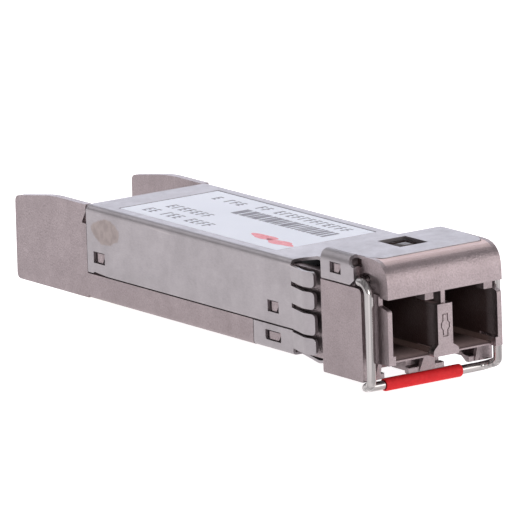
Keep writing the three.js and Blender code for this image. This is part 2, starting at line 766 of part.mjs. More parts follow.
// A rocker that balances on its pin: a heavy front end, and two slim rails that carry the boss.
function latchLever() {
  const [pivotY] = LATCH_PIVOT;
  const side = [
    [LEVER_FRONT, -0.5, 0.1],
    [pivotY + 0.7, -0.5],
    [0.3, LEVER_UNDER],
    [LATCH_SHOULDER, LEVER_UNDER],
    [LATCH_SHOULDER, -LATCH_BOSS_DROP],
    [LATCH_SHOULDER + 0.9, -LATCH_BOSS_DROP],
    [LATCH_BOSS_REAR, LEVER_UNDER],
    [LATCH_BOSS_REAR, LEVER_TOP, 0.1],
    [pivotY + 0.5, LEVER_TOP],
    [pivotY, LEVER_TOP + 0.05, 0.3],
    [pivotY - 1, 0.4],
    [LEVER_FRONT, 0.4, 0.1],
  ];
  const bossRoom = [
    [LATCH_SHOULDER + 0.3, -LATCH_BOSS_DROP + 0.2],
    [LATCH_SHOULDER + 0.9, -LATCH_BOSS_DROP + 0.2],
    [LATCH_BOSS_REAR - 0.2, LEVER_UNDER + 0.15],
    [LATCH_BOSS_REAR - 0.2, 1],
    [LATCH_SHOULDER + 0.3, 1],
  ];
  const arm = alongX(side, [-LATCH_HALF, LATCH_HALF]);
  const weight = block([-WEIGHT_HALF, WEIGHT_HALF], [LEVER_FRONT, WEIGHT_REAR], [-0.5, 0.4]);
  const betweenRails = block([-RAIL_INNER, RAIL_INNER], [pivotY + 0.7, LATCH_SHOULDER - 0.3], [-1, 1]);
  return cut(arm.add(weight), [
    betweenRails,
    alongX(bossRoom, [-RAIL_INNER, RAIL_INNER]),
    rodX(LATCH_PIN_R + 0.04, [-2, 2], LATCH_PIVOT),
  ]);
}

// A leaf that presses the rocker's rails, and so its boss, downwards.
function latchSpring() {
  const leaf = [
    [5.6, 1.6],
    [5.6, 1.48],
    [3.6, 1.3],
    [2.0, 0.7],
    [2.0, 0.85],
    [3.5, 1.43],
  ];
  return alongX(leaf, [-LATCH_HALF + 0.1, LATCH_HALF - 0.1]);
}

// The bail's centre line, from one stub to the other.
function bailPath() {
  const [y, z] = BAIL_PIVOT;
  const half = [
    [STUB_END, y, z],
    [ARM_X, y, z, 0.45],
    [ARM_X, ARM_Y, z, 1.0],
    [ARM_X, ARM_Y, BAR_Z + 0.6, 0.65],
    [ARM_X - 0.2, y, BAR_Z, 1],
  ];
  const other = half.map(([x, ...rest]) => [-x, ...rest]).reverse();
  const corners = [...half, ...other];
  const path = new THREE.CurvePath();
  let last = new THREE.Vector3(...corners[0].slice(0, 3));
  corners.slice(1).forEach(([cx, cy, cz, round = 0], i) => {
    const corner = new THREE.Vector3(cx, cy, cz);
    const after = corners[i + 2];
    const enter = last.clone().sub(corner).setLength(round).add(corner);
    path.add(new THREE.LineCurve3(last, enter));
    last = enter;
    if (!round || !after) return;
    const next = new THREE.Vector3(...after.slice(0, 3));
    const leave = next.sub(corner).setLength(round).add(corner);
    path.add(new THREE.QuadraticBezierCurve3(enter, corner, leave));
    last = leave;
  });
  return path;
}

function bailWire() {
  const section = new THREE.Shape().absarc(0, 0, WIRE_R, 0, 2 * Math.PI);
  const options = { steps: 150, extrudePath: bailPath(), curveSegments: 6 };
  return solid(new THREE.ExtrudeGeometry(section, options));
}

function bailSleeve() {
  const axis = [BAIL_PIVOT[0], BAR_Z];
  return cut(rodX(SLEEVE_R, SLEEVE_SPAN, axis), [rodX(SLEEVE_BORE_R, [-6, 6], axis)]);
}

// ---- Optics ----

const centre = (side) => [(side * PORT_PITCH) / 2, AXIS_HEIGHT];

function barrel(side) {
  const profile = [
    [0.95, -2.6],
    [1.35, -2.6],
    [1.5, -2.45],
    [1.5, 2.05],
    [1.9, 2.05],
    [1.9, 2.6],
    [1.5, 2.6],
    [1.5, 3.9],
    [2.1, 3.9],
    [2.1, 4.6],
    [0.62, 4.6],
    [0.62, 3.6],
    [0.95, 3.6],
    [0.95, -2.6],
  ];
  return turned(profile, centre(side));
}

// A turned ring between two radii and two places along the optical axis.
function ring(side, [r0, r1], [y0, y1]) {
  return turned([[r0, y0], [r1, y0], [r1, y1], [r0, y1], [r0, y0]], centre(side));
}

function splitSleeve(side) {
  const [x, z] = centre(side);
  const split = block([x - 0.06, x + 0.06], [-3, 4], [z + 0.3, z + 1.2]);
  return cut(ring(side, [0.64, 0.9], [-2.2, 3.3]), [split]);
}

function fibreStub(side) {
  const profile = [
    [0, 0.6],
    [0.5, 0.6],
    [0.6, 0.75],
    [0.6, 4.45],
    [0, 4.45],
    [0, 0.6],
  ];
  return turned(profile, centre(side));
}

const gasket = (side) => ring(side, [1.56, 1.95], [BULKHEAD_REAR + 0.04, 2.0]);

// A sealed can on a wider header.
function opticalCan(side) {
  const profile = [
    [0, 4.65],
    [1.8, 4.65],
    [2.0, 4.9],
    [2.0, 7.6],
    [2.28, 7.6],
    [2.28, 8.7],
    [0, 8.7],
    [0, 4.65],
  ];
  return turned(profile, centre(side));
}

function canLeads(side) {
  const [x, z] = centre(side);
  const header = rodY(1.2, [8.74, 9.1], [x, z]);
  const pins = [-0.75, 0, 0.75].map((dx) => rodY(0.18, [9, 9.75], [x + dx, z], 8));
  return join([header, ...pins]);
}

// A flexible circuit runs from behind the leads down onto the board.
function flexCircuit(side) {
  const x = centre(side)[0];
  const low = BOARD_TOP + 0.03;
  const [back, high, end] = [9.85, 5.4, 14.2];
  const strip = [
    [back, high],
    [back, low + 0.75],
    [back + 0.35, low + 0.1, 0.3],
    [end, low],
    [end, low + FLEX_THICK],
    [back + 0.5, low + FLEX_THICK + 0.1, 0.3],
    [back + FLEX_THICK, low + 0.8],
    [back + FLEX_THICK, high],
  ];
  return alongX(strip, [x - FLEX_HALF, x + FLEX_HALF]);
}

// A saddle plate that holds both barrels down by their grooves.
function opticsClamp() {
  const plate = block([-5.35, 5.35], [2.75, 3.7], [AXIS_HEIGHT + 0.1, 7.9]);
  const seats = bothSides((side) => rodY(1.58, [2, 4], centre(side)));
  const relief = block([-0.8, 0.8], [2, 4], [3, 5.2]);
  return cut(plate, [...seats, relief]);
}

// ---- Electronics ----

function circuitBoard() {
  const corners = [
    [-BOARD_HALF, BOARD_FRONT, 0.3],
    [BOARD_HALF, BOARD_FRONT, 0.3],
    [BOARD_HALF, BOARD_NECK - 0.6],
    [EDGE_HALF, BOARD_NECK],
    [EDGE_HALF, BOARD_REAR, 0.4],
    [-EDGE_HALF, BOARD_REAR, 0.4],
    [-EDGE_HALF, BOARD_NECK],
    [-BOARD_HALF, BOARD_NECK - 0.6],
  ];
  return alongZ(corners, [BOARD_BOTTOM, BOARD_TOP]);
}

// Parts soldered on the board: name, centre x and y, size x, y and z, colour.
const CHIPS = [
  ["laser_driver_chip", -2.7, 17.6, 3.6, 3.6, 0.85, BLACK],
  ["receiver_amplifier_chip", 2.7, 17.6, 3.2, 3.2, 0.85, BLACK],
  ["microcontroller_chip", -1.9, 26.2, 4.6, 4.6, 0.9, BLACK],
  ["memory_chip", 3.2, 25.0, 2.2, 3.0, 0.75, BLACK],
  ["crystal_can", 3.2, 29.4, 2.5, 3.2, 0.8, STEEL],
  ["power_inductor_left", -3.7, 31.6, 2.0, 2.5, 1.2, BLACK],
  ["power_inductor_right", -1.1, 31.6, 2.0, 2.5, 1.2, BLACK],
  ["bulk_capacitor_left", -3.6, 34.6, 1.6, 0.9, 0.85, TAN],
  ["bulk_capacitor_right", -1.2, 34.6, 1.6, 0.9, 0.85, TAN],
  ["filter_capacitor_left", -0.2, 21.6, 0.8, 1.4, 0.6, TAN],
  ["filter_capacitor_right", 1.4, 21.6, 0.8, 1.4, 0.6, TAN],
];

function addElectronics() {
  addPiece("circuit_board", circuitBoard(), BOARD_GREEN, 0.55, 0);
  for (const [name, x, y, wide, long, high, color] of CHIPS) {
    const low = BOARD_TOP + SOLDER;
    const chip = block([x - wide / 2, x + wide / 2], [y - long / 2, y + long / 2], [low, low + high]);
    addPiece(name, chip, color, 0.5, 0);
  }
}

// ---- Assembly ----

function addHousing() {
  const label = block([-LABEL_HALF, LABEL_HALF], LABEL_Y, [BODY_TOP - 0.09, BODY_TOP - 0.01]);
  const film = block([-4.6, 4.6], [12, 35], [FLOOR_TOP + 0.05, FLOOR_TOP + 0.15]);
  const pad = block([-5.2, -0.6], [4.9, 8.6], [6.6, BODY_TOP - SHEET - 0.04]);
  addPiece("base_housing", baseHousing(), CASTING, 0.45, 1);
  addPiece("top_cover", topCover(), STEEL, 0.35, 1);
  addPiece("lower_emi_collar", lowerCollar(), STEEL, 0.35, 1);
  addPiece("nose_cap", noseCap(), STEEL, 0.35, 1);
  addPiece("label", label, PAPER, 0.7, 0);
  addPiece("insulating_film", film, AMBER, 0.4, 0);
  addPiece("thermal_pad", pad, GREY_RUBBER, 0.9, 0);
}

function addOptics() {
  const names = { "-1": "transmit", 1: "receive" };
  for (const side of [-1, 1]) {
    const name = names[side];
    addPiece(name + "_barrel", barrel(side), STEEL, 0.3, 1);
    addPiece(name + "_split_sleeve", splitSleeve(side), CERAMIC, 0.3, 0);
    addPiece(name + "_fibre_stub", fibreStub(side), CERAMIC, 0.2, 0);
    addPiece(name + "_gasket", gasket(side), GREY_RUBBER, 0.9, 0);
    addPiece(name + "_can", opticalCan(side), GOLD, 0.3, 1);
    addPiece(name + "_leads", canLeads(side), GOLD, 0.3, 1);
    addPiece(name + "_flex", flexCircuit(side), AMBER, 0.45, 0);
  }
  addPiece("optics_clamp", opticsClamp(), STEEL, 0.4, 1);
}

function addLatchAndBail() {
  addPiece("latch_lever", latchLever(), CASTING, 0.45, 1);
  addPiece("latch_pin", rodX(LATCH_PIN_R, [-LATCH_PIN_HALF, LATCH_PIN_HALF], LATCH_PIVOT), STEEL, 0.25, 1);
  addPiece("latch_spring", latchSpring(), STEEL, 0.3, 1);
  addPiece("bail_wire", bailWire(), WIRE, 0.2, 1);
  addPiece("bail_sleeve", bailSleeve(), RED, 0.6, 0);
}

addHousing();
addElectronics();
addOptics();
addLatchAndBail();

export default module;
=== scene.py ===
import json
import math
import random

import bmesh
import bpy
from mathutils import Matrix, Vector


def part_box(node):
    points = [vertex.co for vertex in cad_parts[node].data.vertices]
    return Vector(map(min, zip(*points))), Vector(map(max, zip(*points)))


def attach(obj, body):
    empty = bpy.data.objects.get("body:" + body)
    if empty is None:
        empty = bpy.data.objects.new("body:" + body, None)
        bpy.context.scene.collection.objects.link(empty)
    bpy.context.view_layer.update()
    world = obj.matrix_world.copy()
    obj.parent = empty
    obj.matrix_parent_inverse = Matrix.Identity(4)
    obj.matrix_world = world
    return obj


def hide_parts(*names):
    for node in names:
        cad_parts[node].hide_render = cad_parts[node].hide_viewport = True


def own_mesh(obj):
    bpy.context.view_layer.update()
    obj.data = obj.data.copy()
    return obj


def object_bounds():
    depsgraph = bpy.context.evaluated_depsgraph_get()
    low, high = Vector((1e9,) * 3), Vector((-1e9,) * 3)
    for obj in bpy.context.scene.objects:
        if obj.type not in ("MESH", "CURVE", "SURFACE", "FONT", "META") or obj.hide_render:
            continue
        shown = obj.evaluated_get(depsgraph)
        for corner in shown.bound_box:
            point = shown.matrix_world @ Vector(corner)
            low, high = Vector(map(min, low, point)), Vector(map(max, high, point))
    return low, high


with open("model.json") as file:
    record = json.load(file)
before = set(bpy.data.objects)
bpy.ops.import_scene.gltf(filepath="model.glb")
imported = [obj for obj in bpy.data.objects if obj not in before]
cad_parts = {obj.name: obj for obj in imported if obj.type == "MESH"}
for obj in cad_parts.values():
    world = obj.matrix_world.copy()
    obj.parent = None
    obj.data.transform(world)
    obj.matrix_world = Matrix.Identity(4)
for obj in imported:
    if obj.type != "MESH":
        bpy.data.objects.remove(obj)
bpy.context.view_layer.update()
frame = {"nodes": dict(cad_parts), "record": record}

MM = 0.001
COVER_REAR_MM = 36.04
BOARD_UNDERSIDE_MM = 2.25
ORIGIN = Vector(
    (
        0,
        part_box("top_cover")[1].y - COVER_REAR_MM * MM,
        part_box("circuit_board")[0].z - BOARD_UNDERSIDE_MM * MM,
    )
)
BODY_OF = {
    node: body
    for body, nodes in frame["record"]["behaviour"]["bodies"].items()
    for node in nodes
}


def at(x, y, z):
    """A point given in millimetres from the stop shoulder and the underside, in the frame."""
    return ORIGIN + Vector((x, y, z)) * MM


# ---------------------------------------------------------------- materials


def connect(tree, socket, value):
    """Sets a socket, or links it when the value is another node's output."""
    if isinstance(value, bpy.types.NodeSocket):
        tree.links.new(value, socket)
    else:
        socket.default_value = value


def add(tree, kind, output=0, settings=None, **inputs):
    """Adds a node, sets its inputs by number (i0, i1) or name, and returns one of its outputs."""
    made = tree.nodes.new(kind)
    for key, value in (settings or {}).items():
        setattr(made, key, value)
    for key, value in inputs.items():
        connect(tree, made.inputs[int(key[1:]) if key[1:].isdigit() else key], value)
    return made.outputs[output]


def millimetres(tree, stretch=(1, 1, 1)):
    """Object coordinates in millimetres, divided along each axis by stretch."""
    scale = tuple(1 / (MM * s) for s in stretch)
    return add(tree, "ShaderNodeMapping", Vector=object_place(tree), Scale=scale)


def noise(tree, vector, scale, detail=3, rough=0.5):
    return add(
        tree,
        "ShaderNodeTexNoise",
        "Fac",
        Vector=vector,
        Scale=scale,
        Detail=detail,
        Roughness=rough,
    )


def scalar(tree, operation, *values):
    """One step of arithmetic on numbers."""
    inputs = {f"i{k}": value for k, value in enumerate(values)}
    return add(tree, "ShaderNodeMath", settings={"operation": operation}, **inputs)


def vector(tree, operation, *values, output=0, **named):
    """One step of arithmetic on vectors."""
    inputs = {f"i{k}": value for k, value in enumerate(values)}
    settings = {"operation": operation}
    return add(tree, "ShaderNodeVectorMath", output, settings, **inputs, **named)


def components(tree, source):
    """The x, y and z outputs of a vector."""
    split = tree.nodes.new("ShaderNodeSeparateXYZ")
    tree.links.new(source, split.inputs[0])
    return split.outputs


def object_place(tree):
    return add(tree, "ShaderNodeTexCoord", "Object")


def between_depths(tree, axes, y0, y1, low_out, high_out):
    """Changes from one value to another between two depths in millimetres."""
    return remap(tree, axes[1], at(0, y0, 0).y, at(0, y1, 0).y, low_out, high_out)


def between_heights(tree, axes, z0, z1, low_out, high_out):
    """Changes from one value to another between two heights in millimetres."""
    return remap(tree, axes[2], at(0, 0, z0).z, at(0, 0, z1).z, low_out, high_out)


def base_colour(shader):
    """The output that colours a shader now."""
    return shader.inputs["Base Color"].links[0].from_socket


def remap(tree, value, low_in, high_in, low_out, high_out):
    return add(
        tree, "ShaderNodeMapRange", i0=value, i1=low_in, i2=high_in, i3=low_out, i4=high_out
    )


def mixed(tree, factor, low, high):
    """A colour between two colours."""
    made = tree.nodes.new("ShaderNodeMix")
    made.data_type = "RGBA"
    connect(tree, made.inputs[0], factor)
    for socket, colour in ((made.inputs[6], low), (made.inputs[7], high)):
        connect(tree, socket, (*colour, 1) if isinstance(colour, tuple) else colour)
    return made.outputs[2]


def bumped(tree, shader, height, strength, depth):
    normal = add(
        tree, "ShaderNodeBump", Height=height, Strength=strength, Distance=depth
    )
    tree.links.new(normal, shader.inputs["Normal"])


def shader_of(name, **sockets):
    """A new material with one Principled shader, and its uniform sockets set."""
    material = bpy.data.materials.new(name)
    material.use_nodes = True
    shader = material.node_tree.nodes["Principled BSDF"]
    for key, value in sockets.items():
        shader.inputs[key.replace("_", " ")].default_value = value
    return material, material.node_tree, shader


def metal(
    name,
    dark,
    light,
    rough,
    grain=(1, 1, 1),
    size=4.0,
    bump=0.25,
    depth=4e-6,
    speckle=0.05,
):
    """A metal with mottled colour, uneven roughness and a grain that can run along an axis."""
    material, tree, shader = shader_of(name, Metallic=1.0)
    place = millimetres(tree)
    mottle = noise(tree, place, 0.35, 4, 0.6)
    grains = noise(tree, millimetres(tree, grain), size, 3, 0.65)
    patches = remap(tree, mottle, 0.35, 0.65, 0, 1)
    tone = mixed(tree, patches, dark, light)
    sparkle = remap(tree, grains, 0.3, 0.7, 1 - speckle, 1 + speckle)
    connect(tree, shader.inputs["Base Color"], vector(tree, "SCALE", tone, Scale=sparkle))
    spread = noise(tree, place, 1.3, 5, 0.7)
    connect(tree, shader.inputs["Roughness"], remap(tree, spread, 0.3, 0.7, *rough))
    bumped(tree, shader, grains, bump, depth)
    return material, tree, shader


SATIN_DARK, SATIN_LIGHT = (0.30, 0.28, 0.292), (0.345, 0.322, 0.336)
SATIN_GRAIN = {"grain": (1, 3, 1), "size": 9.0, "bump": 0.2}

TINT_CENTRE_MM = (-6.7, 33.1, 6.4)
TINT_FLATTEN = (1, 0.52, 1)
TINT_INNER, TINT_OUTER = 1.05 * MM, 1.2 * MM
TINT_STRENGTH = 0.85
TINT_WOBBLE = 0.9 * MM
SCRATCH_TURN, SCRATCH_SCALE = (0.5, 0, 0), (60, 90, 2600)


def nickel_cover():
    """The sheet cover: satin nickel, a beige heat tint on the near side, hairline scratches."""
    rough = (0.34, 0.44)
    material, tree, shader = metal(
        "satin_nickel_cover", SATIN_DARK, SATIN_LIGHT, rough, **SATIN_GRAIN
    )
    place = object_place(tree)
    wobble = add(
        tree,
        "ShaderNodeTexNoise",
        "Color",
        Vector=millimetres(tree),
        Scale=0.7,
        Detail=4.0,
    )
    shifted = vector(tree, "MULTIPLY_ADD", wobble, (TINT_WOBBLE,) * 3, place)
    # The wobble averages half its range, so the centre moves by as much.
    centre = at(*TINT_CENTRE_MM) + Vector((0.45, 0.45, 0.45)) * MM
    offset = vector(tree, "SUBTRACT", shifted, tuple(centre))
    oval = vector(tree, "MULTIPLY", offset, TINT_FLATTEN)
    away = vector(tree, "LENGTH", oval, output="Value")
    tint = remap(tree, away, TINT_INNER, TINT_OUTER, TINT_STRENGTH, 0)
    scratch_place = add(
        tree,
        "ShaderNodeMapping",
        Vector=place,
        Rotation=SCRATCH_TURN,
        Scale=SCRATCH_SCALE,
    )
    scratches = remap(tree, noise(tree, scratch_place, 1.0, 2, 0.5), 0.70, 0.76, 0, 0.5)
    clean = base_colour(shader)
    stain = remap(tree, noise(tree, millimetres(tree), 1.6, 3), 0.42, 0.6, 0, 1)
    beige = mixed(tree, stain, (0.285, 0.24, 0.225), (0.235, 0.195, 0.185))
    tinted = mixed(tree, tint, clean, beige)
    scratched = mixed(tree, scratches, tinted, (0.42, 0.39, 0.40))
    connect(tree, shader.inputs["Base Color"], scratched)
    return material


PORT_MOUTH_MM, PORT_FULL_SHADE_MM = -8.3, -6.9
PORT_END_MM = (1.0, 1.2)
PORT_SIDE_MM = (5.58, 5.62)
PORT_FLOOR_MM = (1.2, 1.28)
FLOOR_LIT_MM = (-7.8, -3.5)
GROOVE_EDGE_MM = (1.78, 1.84)
# Port pocket colours are painted light and shade: a near-black shaded wall, a lit floor and a
# bounce-lit band low on the walls.
PORT_WALL_SHADE, PORT_FLOOR_LIGHT = (0.036, 0.020, 0.019), (0.78, 0.58, 0.57)
BELOW_GROOVE_BOUNCE = (0.15, 0.10, 0.09)
PORT_METALLIC = 0.2


def cast_nose():
    """Nickel-plated casting: matt, sparkling grain; painted shade darkens its port pockets
    inwards, with painted light on their floor and low walls.
    """
    material, tree, shader = metal(
        "nickel_casting",
        (0.265, 0.222, 0.23),
        (0.305, 0.257, 0.266),
        (0.30, 0.42),
        size=6.0,
        bump=1.0,
        depth=45e-6,
        speckle=0.14,
    )
    axes = components(tree, object_place(tree))
    # Painted shade: the pockets darken from the mouth inwards, inside their ends, sides and
    # floor.
    depth = between_depths(tree, axes, PORT_MOUTH_MM, PORT_FULL_SHADE_MM, 0, 1)
    across = scalar(tree, "ABSOLUTE", axes[0])
    for mask in (
        between_depths(tree, axes, *PORT_END_MM, 1, 0),
        remap(tree, across, *(side * MM for side in PORT_SIDE_MM), 1, 0),
        between_heights(tree, axes, *PORT_FLOOR_MM, 0, 1),
    ):
        depth = scalar(tree, "MULTIPLY", depth, mask)
    facing = components(tree, add(tree, "ShaderNodeNewGeometry", "True Normal"))
    # Painted light: upward faces in the pockets take a lit floor colour, fading deeper in.
    upward = remap(tree, facing[2], 0.5, 0.9, 0, 1)
    floor_tone = between_depths(tree, axes, *FLOOR_LIT_MM, 1, 0)
    lit = scalar(tree, "MULTIPLY", upward, floor_tone)
    painted_port_tone = mixed(tree, lit, PORT_WALL_SHADE, PORT_FLOOR_LIGHT)
    # Painted bounce light: the walls below the groove edge take a lighter brown band.
    bounce_band = between_heights(tree, axes, *GROOVE_EDGE_MM, 1, 0)
    painted_port_tone = mixed(tree, bounce_band, painted_port_tone, mixed(tree, upward, BELOW_GROOVE_BOUNCE, painted_port_tone))
    bright = base_colour(shader)
    connect(tree, shader.inputs["Base Color"], mixed(tree, depth, bright, painted_port_tone))
    connect(tree, shader.inputs["Metallic"], remap(tree, depth, 0, 1, 1, PORT_METALLIC))
    return material


BAR_TOP_MM = -0.6
DIE_LINE_LENGTH = 40
DIE_LINE_SCALE = 4.2


def drawn_wire():
    """Bright drawn wire: die lines run along its arms, and along the crossbar below them."""
    material, tree, shader = metal(
        "drawn_steel_wire",
        (0.33, 0.315, 0.315),
        (0.40, 0.385, 0.38),
        (0.13, 0.22),
        bump=0.1,
        depth=2e-6,
    )
    axes = components(tree, object_place(tree))
    along_arm = millimetres(tree, (1, 1, DIE_LINE_LENGTH))
    along_bar = millimetres(tree, (DIE_LINE_LENGTH, 1, 1))
    upright = noise(tree, along_arm, DIE_LINE_SCALE, 2, 0.6)
    level = noise(tree, along_bar, DIE_LINE_SCALE, 2, 0.6)
    high = between_heights(tree, axes, BAR_TOP_MM - 0.1, BAR_TOP_MM, 0, 1)
    lines = tree.nodes.new("ShaderNodeMix")
    for index, value in ((0, high), (2, level), (3, upright)):
        tree.links.new(value, lines.inputs[index])
    tone = remap(tree, lines.outputs[0], 0.38, 0.62, 0, 1)
    drawn = mixed(tree, tone, (0.23, 0.22, 0.22), (0.43, 0.41, 0.405))
    connect(tree, shader.inputs["Base Color"], drawn)
    return material


def label_film():
    """Pale printable film: a faint cloudiness and a paper-like tooth."""
    material, tree, shader = shader_of("label_film", Metallic=0.0)
    place = millimetres(tree)
    fibres = noise(tree, place, 6, 4, 0.7)
    clouds = noise(tree, place, 0.12, 2)
    patches = remap(tree, clouds, 0.35, 0.65, 0, 1)
    tone = mixed(tree, patches, (0.76, 0.79, 0.87), (0.81, 0.84, 0.92))
    connect(tree, shader.inputs["Base Color"], tone)
    connect(tree, shader.inputs["Roughness"], remap(tree, fibres, 0.3, 0.7, 0.38, 0.52))
    bumped(tree, shader, fibres, 0.15, 3e-6)
    return material


def plain(name, dark, light, rough, size=3.0, bump=0.2, depth=5e-6, coat=0.0):
    """A moulded, printed or ceramic surface: two close tones and a slight texture."""
    material, tree, shader = shader_of(name, Metallic=0.0, Coat_Weight=coat)
    place = millimetres(tree)
    speckle = noise(tree, place, size, 4, 0.6)
    tone = mixed(tree, remap(tree, speckle, 0.35, 0.65, 0, 1), dark, light)
    connect(tree, shader.inputs["Base Color"], tone)
    spread = noise(tree, place, 1.1, 3)
    connect(tree, shader.inputs["Roughness"], remap(tree, spread, 0.3, 0.7, *rough))
    bumped(tree, shader, speckle, bump, depth)
    return material


def with_tinned_ends(name, dark, light, along):
    """A chip component: a ceramic middle between two tinned ends."""
    material = plain(name, dark, light, (0.35, 0.5))
    tree = material.node_tree
    shader = tree.nodes["Principled BSDF"]
    axes = components(tree, add(tree, "ShaderNodeTexCoord", "Generated"))
    from_middle = scalar(tree, "ABSOLUTE", scalar(tree, "SUBTRACT", axes[along], 0.5))
    ends = remap(tree, from_middle, 0.27, 0.29, 0, 1)
    tinned = mixed(tree, ends, base_colour(shader), (0.62, 0.62, 0.63))
    connect(tree, shader.inputs["Base Color"], tinned)
    connect(tree, shader.inputs["Metallic"], ends)
    return material


def solder_mask():
    """Green mask over laminate; faint copper traces run along the board."""
    material = plain(
        "green_solder_mask",
        (0.012, 0.085, 0.035),
        (0.016, 0.11, 0.045),
        (0.22, 0.32),
        coat=0.2,
    )
    tree = material.node_tree
    shader = tree.nodes["Principled BSDF"]
    wander = noise(tree, millimetres(tree, (1, 6, 1)), 1.6, 2)
    lines = add(
        tree,
        "ShaderNodeTexWave",
        "Fac",
        {"bands_direction": "X"},
        Vector=millimetres(tree),
        Scale=0.8,
        Distortion=remap(tree, wander, 0, 1, 0, 3),
    )
    trace = remap(tree, lines, 0.62, 0.7, 0, 0.55)
    traced = mixed(tree, trace, base_colour(shader), (0.03, 0.2, 0.07))
    connect(tree, shader.inputs["Base Color"], traced)
    return material


def metal_only(*tones, **texture):
    return metal(*tones, **texture)[0]


NICKEL = metal_only(
    "satin_nickel_sheet", SATIN_DARK, SATIN_LIGHT, (0.34, 0.46), **SATIN_GRAIN
)
COVER = nickel_cover()
CAST = cast_nose()
WIRE = drawn_wire()
SPRING = metal_only(
    "spring_strip",
    (0.36, 0.37, 0.38),
    (0.44, 0.44, 0.45),
    (0.22, 0.32),
    grain=(1, 4, 1),
    size=6.0,
    bump=0.12,
    depth=2e-6,
)
TURNED = metal_only(
    "turned_steel",
    (0.46, 0.46, 0.47),
    (0.55, 0.55, 0.56),
    (0.18, 0.28),
    grain=(1, 0.25, 1),
    size=5.0,
    bump=0.2,
    depth=3e-6,
)
GOLD = metal_only(
    "gold_plate",
    (0.78, 0.52, 0.18),
    (0.84, 0.60, 0.24),
    (0.2, 0.32),
    size=6.0,
    bump=0.12,
    depth=2e-6,
)
LABEL = label_film()
INK = plain(
    "grey_print", (0.12, 0.11, 0.14), (0.21, 0.20, 0.24), (0.4, 0.55), 9.0, 0.1, 1e-6
)
RED_INK = plain(
    "red_print", (0.80, 0.16, 0.19), (0.90, 0.30, 0.34), (0.4, 0.55), 4.0, 0.1, 1e-6
)
RED = plain(
    "red_sleeve_plastic",
    (0.46, 0.010, 0.014),
    (0.53, 0.016, 0.020),
    (0.55, 0.7),
    3.5,
    0.3,
    6e-6,
)
RED.node_tree.nodes["Principled BSDF"].inputs["Specular IOR Level"].default_value = 0.2
MASK = solder_mask()
EPOXY = plain(
    "black_epoxy", (0.011, 0.011, 0.013), (0.02, 0.02, 0.022), (0.5, 0.65), 7.0, 0.3
)
FERRITE = plain(
    "dark_ferrite", (0.03, 0.03, 0.033), (0.05, 0.05, 0.055), (0.4, 0.6), 5.0, 0.35, 8e-6
)
CERAMIC = plain(
    "white_zirconia", (0.78, 0.77, 0.74), (0.84, 0.83, 0.80), (0.15, 0.25), 3.0, 0.05, 2e-6
)
AMBER = plain(
    "amber_polyimide",
    (0.40, 0.15, 0.02),
    (0.48, 0.20, 0.035),
    (0.2, 0.3),
    3.0,
    0.1,
    3e-6,
    coat=0.3,
)
SILICONE = plain(
    "grey_silicone", (0.12, 0.13, 0.14), (0.16, 0.17, 0.18), (0.6, 0.75), 4.0, 0.3, 8e-6
)
CAPACITOR = with_tinned_ends("tan_ceramic", (0.30, 0.21, 0.12), (0.36, 0.26, 0.15), 1)

# ---------------------------------------------------------------- pieces


def dress(obj, body, material):
    """Gives a new piece its material and the body it moves with."""
    obj.data.materials.clear()
    obj.data.materials.append(material)
    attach(obj, body)
    return obj


def new_object(name, mesh):
    obj = bpy.data.objects.new(name, mesh)
    bpy.context.scene.collection.objects.link(obj)
    return obj


def shade(mesh, sharp_angle):
    """Shades smooth, apart from edges that turn more than the angle in degrees."""
    mesh.shade_smooth()
    mesh.set_sharp_from_angle(angle=math.radians(sharp_angle))


FLAT_ANGLE, SHARP_ANGLE, ROUND_ANGLE = 1.0, 35, 32
WELD = 1e-6


def softened(node, material, round_mm=0.06, segments=2):
    """A copy of a CAD node, which it stands for, with flat faces merged and edges rounded."""
    source = frame["nodes"][node]
    mesh = source.data.copy()
    work = bmesh.new()
    work.from_mesh(mesh)
    bmesh.ops.remove_doubles(work, verts=work.verts, dist=WELD)
    bmesh.ops.dissolve_limit(
        work, angle_limit=math.radians(FLAT_ANGLE), verts=work.verts, edges=work.edges
    )
    work.to_mesh(mesh)
    work.free()
    mesh.name = node + "_finished"
    obj = new_object(node + "_finished", mesh)
    dress(obj, BODY_OF[node], material)
    shade(mesh, SHARP_ANGLE)
    bevel = obj.modifiers.new("edge_round", "BEVEL")
    bevel.width = round_mm * MM
    bevel.segments = segments
    bevel.limit_method = "ANGLE"
    bevel.angle_limit = math.radians(ROUND_ANGLE)
    bevel.harden_normals = True
    bevel.miter_outer = "MITER_ARC"
    weighted = obj.modifiers.new("face_weight", "WEIGHTED_NORMAL")
    weighted.keep_sharp = True
    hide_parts(node)
    return obj


def box_mesh(work, low, high):
    """Adds a closed box to a bmesh."""
    corners = [
        work.verts.new((x, y, z))
        for x in (low[0], high[0])
        for y in (low[1], high[1])
        for z in (low[2], high[2])
    ]
    for a, b, c, d in (
        (0, 1, 3, 2),
        (4, 6, 7, 5),
        (0, 4, 5, 1),
        (2, 3, 7, 6),
        (0, 2, 6, 4),
        (1, 5, 7, 3),
    ):
        work.faces.new((corners[a], corners[b], corners[c], corners[d]))


def from_bmesh(name, work, sharp_angle=SHARP_ANGLE):
    """Turns a bmesh into an object, with its faces turned outwards."""
    bmesh.ops.recalc_face_normals(work, faces=work.faces)
    mesh = bpy.data.meshes.new(name)
    work.to_mesh(mesh)
    work.free()
    shade(mesh, sharp_angle)
    return new_object(name, mesh)


def rounded_path(corners, steps):
    """A line through corners (point, radius), each bend replaced by an arc."""
    path = [corners[0][0]]
    for i in range(1, len(corners) - 1):
        here, radius = corners[i]
        a = (corners[i - 1][0] - here).normalized()
        b = (corners[i + 1][0] - here).normalized()
        half = a.angle(b) / 2
        bisector = (a + b).normalized()
        centre = here + bisector * (radius / math.sin(half))
        start = here + a * (radius / math.tan(half)) - centre
        end = here + b * (radius / math.tan(half)) - centre
        sweep = start.angle(end)
        axis = start.cross(end).normalized()
        path += [
            centre + Matrix.Rotation(sweep * k / steps, 3, axis) @ start
            for k in range(steps + 1)
        ]
    return path + [corners[-1][0]]


